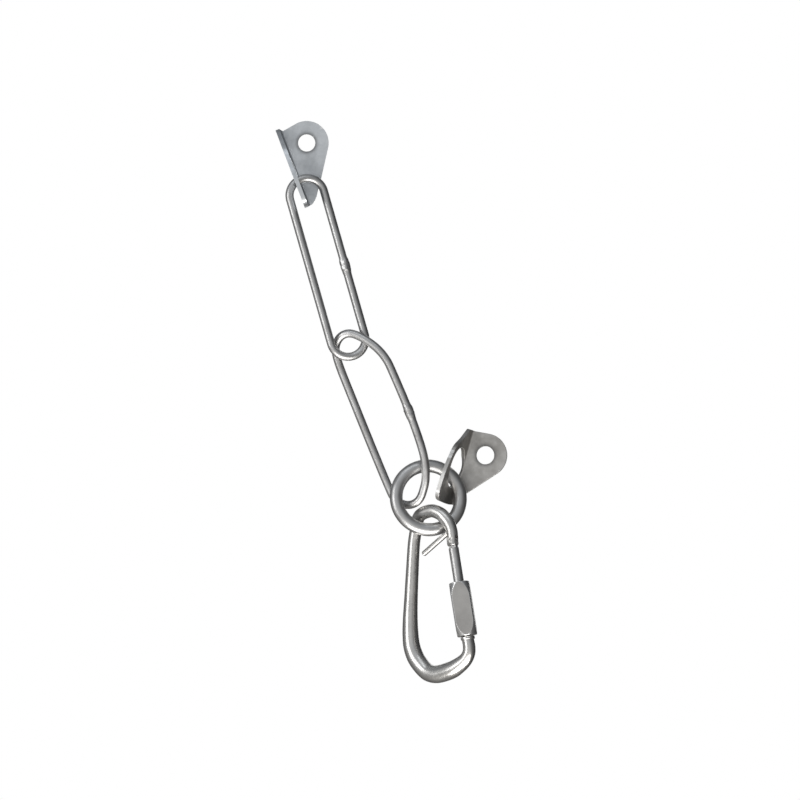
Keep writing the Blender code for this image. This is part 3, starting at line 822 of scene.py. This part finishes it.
def make_gate():
    """Round rod with a shouldered tongue at its hinge end and a chamfered free end."""
    length = GATE_LENGTH - ROD_START
    middle = [(GATE_RADIUS, -GATE_LENGTH + length * t / 40) for t in range(2, 39)]
    profile = (round_end(GATE_RADIUS, -GATE_LENGTH, GATE_FREE_EDGE, True) + middle
               + round_end(GATE_RADIUS, -ROD_START, GATE_HINGE_EDGE, False))
    gate = finish_mesh(lathe(profile, 48), "gate_rod", GATE_MATRIX)
    tongue = cutter_cylinder(TONGUE_RADIUS, TONGUE, GATE_MATRIX @ ACROSS, 64)
    neck_length = ROD_START + 1.0
    neck_place = Matrix.Translation((0, 0, -neck_length / 2))
    neck = cutter_box((2 * TONGUE_RADIUS - 0.6, TONGUE, neck_length), GATE_MATRIX @ neck_place)
    hole = cutter_cylinder(PIN_RADIUS + PIN_FIT, 10.0, GATE_MATRIX @ ACROSS)
    for cutter, operation in ((tongue, "UNION"), (neck, "UNION"), (hole, "DIFFERENCE")):
        boolean(gate, cutter, operation)
    applied(gate)
    remove((tongue, neck, hole))
    return soften_edges(gate, 0.18, 40.0, 2)


def make_pin():
    """Pivot pin with its ends peened to low domes."""
    profile = (round_end(PIN_RADIUS, -PIN_HALF, PIN_EDGE, True)
               + round_end(PIN_RADIUS, PIN_HALF, PIN_EDGE, False))
    return finish_mesh(lathe(profile, 40), "gate_pivot_rivet", PIN_MATRIX)


def make_spring():
    per_turn = 36
    count = SPRING_TURNS * per_turn
    lean = Matrix.Rotation(-BORE_LEAN, 3, "Y")
    points = []
    for i in range(count + 1):
        a = 2 * math.pi * i / per_turn
        along = SPRING_START + SPRING_RISE * i / count
        local = Vector((SPRING_RADIUS * math.cos(a), SPRING_RADIUS * math.sin(a), along))
        points.append(in_bore(0.0) + lean @ local)
    bm = sweep(points, lambda i, a: SPRING_WIRE, 12, False, lean @ Vector((0, 0, 1)))
    return finish_mesh(bm, "gate_spring_coil", HOOK_MATRIX)


def make_plunger():
    """Plunger with a domed face that rides on the tongue and a stepped tail in the spring."""
    profile = (round_end(PLUNGER_RADIUS, 0.0, 0.6, True)
               + [(PLUNGER_RADIUS, PLUNGER_LENGTH - 0.5), (PLUNGER_RADIUS - 0.1, PLUNGER_LENGTH - 0.4)]
               + round_end(PLUNGER_RADIUS - 0.1, PLUNGER_LENGTH, 0.2, False))
    place = aligned(in_bore(-0.2), in_bore(1.0) - in_bore(0.0))
    return finish_mesh(lathe(profile, 40), "spring_plunger_domed", HOOK_MATRIX @ place)


def sleeve_radius(angle, corner):
    """Square section with slightly eased edges, its corners turned down to the given radius."""
    quarter = math.pi / 2
    off = (angle - SLEEVE_FACING + quarter / 2) % quarter - quarter / 2
    flat = SLEEVE_FLAT / math.cos(off)
    blend = max(SLEEVE_EASE - abs(flat - corner), 0.0) / SLEEVE_EASE
    return min(flat, corner) - blend * blend * SLEEVE_EASE * 0.25


def sleeve_stations():
    """Depth from the top and turned radius, from one rounded end to the other."""
    steps = 24
    swell = SLEEVE_CORNER - SLEEVE_RADIUS
    stations = [(depth, SLEEVE_RADIUS - under) for depth, under in SLEEVE_END]
    for i in range(1, steps + 1):
        t = i / steps
        depth = 1.0 + (FLAT_RUNOUT - 1.0) * t
        stations.append((depth, SLEEVE_RADIUS + swell * math.sin(t * math.pi / 2)))
    return stations + [(SLEEVE_LENGTH - depth, radius) for depth, radius in reversed(stations)]


def make_sleeve():
    """Sleeve nut: turned ends, four milled flats that run out in arches, countersunk bore."""
    wide = SLEEVE_BORE + SLEEVE_CHAMFER
    inside = [(SLEEVE_LENGTH, wide), (SLEEVE_LENGTH - SLEEVE_CHAMFER, SLEEVE_BORE),
              (SLEEVE_CHAMFER, SLEEVE_BORE), (0.0, wide)]
    turns = [2 * math.pi * i / SLEEVE_SIDES + SLEEVE_FACING + math.pi / 4 for i in range(SLEEVE_SIDES)]
    rings = [(depth, [sleeve_radius(a, corner) for a in turns]) for depth, corner in sleeve_stations()]
    rings += [(depth, [radius] * SLEEVE_SIDES) for depth, radius in inside]
    bm = bmesh.new()
    rows = []
    for depth, radii in rings:
        z = -(SLEEVE_TOP + depth)
        rows.append([bm.verts.new((r * math.cos(a), r * math.sin(a), z)) for r, a in zip(radii, turns)])
    for upper, lower in zip(rows, rows[1:] + rows[:1]):
        for i in range(SLEEVE_SIDES):
            j = (i + 1) % SLEEVE_SIDES
            bm.faces.new((upper[i], upper[j], lower[j], lower[i]))
    sleeve = finish_mesh(bm, "screw_sleeve_milled", GATE_MATRIX, 18.0)
    return paint(sleeve, sleeve_tone, GATE_MATRIX)


def sleeve_tone(spot):
    """The turned ends and corners are bright, the milled flats are not."""
    quarter = math.pi / 2
    off = (math.atan2(spot.y, spot.x) - SLEEVE_FACING + quarter / 2) % quarter - quarter / 2
    proud = SLEEVE_FLAT / math.cos(off) - math.hypot(spot.x, spot.y)
    return min(max(proud / 0.05, 0.0), 1.0)


# ---------------------------------------------------------------- light and camera

def make_light(name, size, power, location, colour):
    """A rectangular light that faces the chain."""
    data = bpy.data.lights.new(name, "AREA")
    data.shape = "RECTANGLE"
    data.size, data.size_y = size
    data.energy = power
    data.color = colour
    light = bpy.data.objects.new(name, data)
    light.location = location
    light.rotation_euler = (Vector(location) - VIEW_CENTRE).to_track_quat("Z", "Y").to_euler()
    bpy.context.scene.collection.objects.link(light)


def add_stage(name, bm, material):
    """A studio surface: seen directly, but kept out of the steel's reflections and light."""
    mesh = bpy.data.meshes.new(name)
    bm.to_mesh(mesh)
    bm.free()
    surface = bpy.data.objects.new(name, mesh)
    surface.data.materials.append(material)
    surface.visible_glossy = False
    surface.visible_diffuse = False
    surface.visible_shadow = False
    bpy.context.scene.collection.objects.link(surface)


def make_backdrop(material):
    """A pale dome round the camera and the chain, so that every side has the same background."""
    bm = bmesh.new()
    bmesh.ops.create_uvsphere(bm, u_segments=48, v_segments=24, radius=DOME_RADIUS)
    add_stage("backdrop", bm, material)


def make_floor(material):
    bm = bmesh.new()
    bmesh.ops.create_circle(bm, cap_ends=True, segments=64, radius=DOME_RADIUS * 0.99)
    bmesh.ops.translate(bm, vec=(0.0, 0.0, FLOOR_HEIGHT), verts=bm.verts)
    add_stage("floor", bm, material)


def pale(name):
    """An even white that is neither lit nor shaded."""
    material = bpy.data.materials.new(name)
    material.use_nodes = True
    shader = material.node_tree.nodes["Principled BSDF"]
    shader.inputs["Base Color"].default_value = (0.0, 0.0, 0.0, 1.0)
    shader.inputs["Roughness"].default_value = 1.0
    shader.inputs["Specular IOR Level"].default_value = 0.0
    shader.inputs["Emission Color"].default_value = (1.0, 1.0, 1.0, 1.0)
    shader.inputs["Emission Strength"].default_value = 1.0
    material.cycles.emission_sampling = "NONE"
    return material


def make_studio():
    white = pale("studio_white")
    make_backdrop(white)
    make_floor(white)
    for light in LIGHTS:
        make_light(*light)
    make_surroundings()


def make_surroundings():
    """A dim room, grey in front of the chain and darker behind it and to its right."""
    world = bpy.context.scene.world or bpy.data.worlds.new("world")
    bpy.context.scene.world = world
    world.use_nodes = True
    tree = world.node_tree
    direction = tree.nodes.new("ShaderNodeTexCoord").outputs["Generated"]
    parts = tree.nodes.new("ShaderNodeSeparateXYZ")
    tree.links.new(direction, parts.inputs["Vector"])
    level = spread(tree, parts.outputs["Y"], ROOM_FRONT, ROOM_BACK, -1.0, 0.6)
    side = spread(tree, parts.outputs["X"], 1.0, ROOM_RIGHT, 0.1, 0.8)
    tint = blend_colour(tree, spread(tree, parts.outputs["Z"], 0.0, 1.0, -0.6, 0.6),
                        LAMPLIGHT, (0.93, 0.965, 1.0))
    brightness = node(tree, "ShaderNodeMath")
    brightness.operation = "MULTIPLY"
    tree.links.new(level, brightness.inputs[0])
    tree.links.new(side, brightness.inputs[1])
    tree.links.new(tint, tree.nodes["Background"].inputs["Color"])
    tree.links.new(brightness.outputs["Value"], tree.nodes["Background"].inputs["Strength"])


def make_camera():
    data = bpy.data.cameras.new("camera")
    data.sensor_width = 36.0
    data.lens = 36.0 * CAMERA_AWAY / FRAME_WIDTH
    data.clip_end = 60.0
    camera = bpy.data.objects.new("camera", data)
    camera.location = VIEW_CENTRE + Vector((0.0, -CAMERA_AWAY, 0.0))
    camera.rotation_euler = (math.pi / 2, 0.0, 0.0)
    bpy.context.scene.collection.objects.link(camera)
    bpy.context.scene.camera = camera


# ---------------------------------------------------------------- build

MATERIALS = make_materials()


def build():
    upper = make_hanger("upper_hanger_plate", hanger_matrix(Vector((0, 0, 0)), UPPER_LEAN, 0.0),
                        UPPER_BEND, UPPER_HOLE, UPPER_HOLE_RADIUS, UPPER_SHAPE)
    dress(upper, "hanger_steel", "hanger_top", "upper_hanger")
    lower = make_hanger("lower_hanger_plate", hanger_matrix(LOWER_BOLT, LOWER_LEAN, LOWER_TURN),
                        LOWER_BEND, LOWER_HOLE, LOWER_HOLE_RADIUS, LOWER_SHAPE)
    dress(lower, "hanger_steel_warm", "hanger_bottom", "lower_hanger")
    dress(make_upper_link(), "wire_steel", "link_top", "upper_link")
    dress(make_lower_link(), "wire_steel", "link_bottom", "lower_link")
    dress(make_ring(), "wire_steel", "ring_body", "ring")
    dress(make_hook_body(), "forged_steel", "hook", "hook_body")
    dress(make_captive_bar(), "forged_steel", "hook", "captive_bar")
    dress(make_pin(), "forged_steel", "hook", "gate_pivot_pin")
    dress(make_spring(), "spring_steel", "hook", "gate_spring")
    dress(make_plunger(), "spring_steel", "hook", "spring_plunger")
    dress(make_gate(), "wire_steel", "gate_arm", "gate")
    dress(make_sleeve(), "milled_steel", "sleeve", "screw_sleeve")


build()
make_studio()
make_camera()
bpy.context.scene.view_settings.view_transform = "Standard"
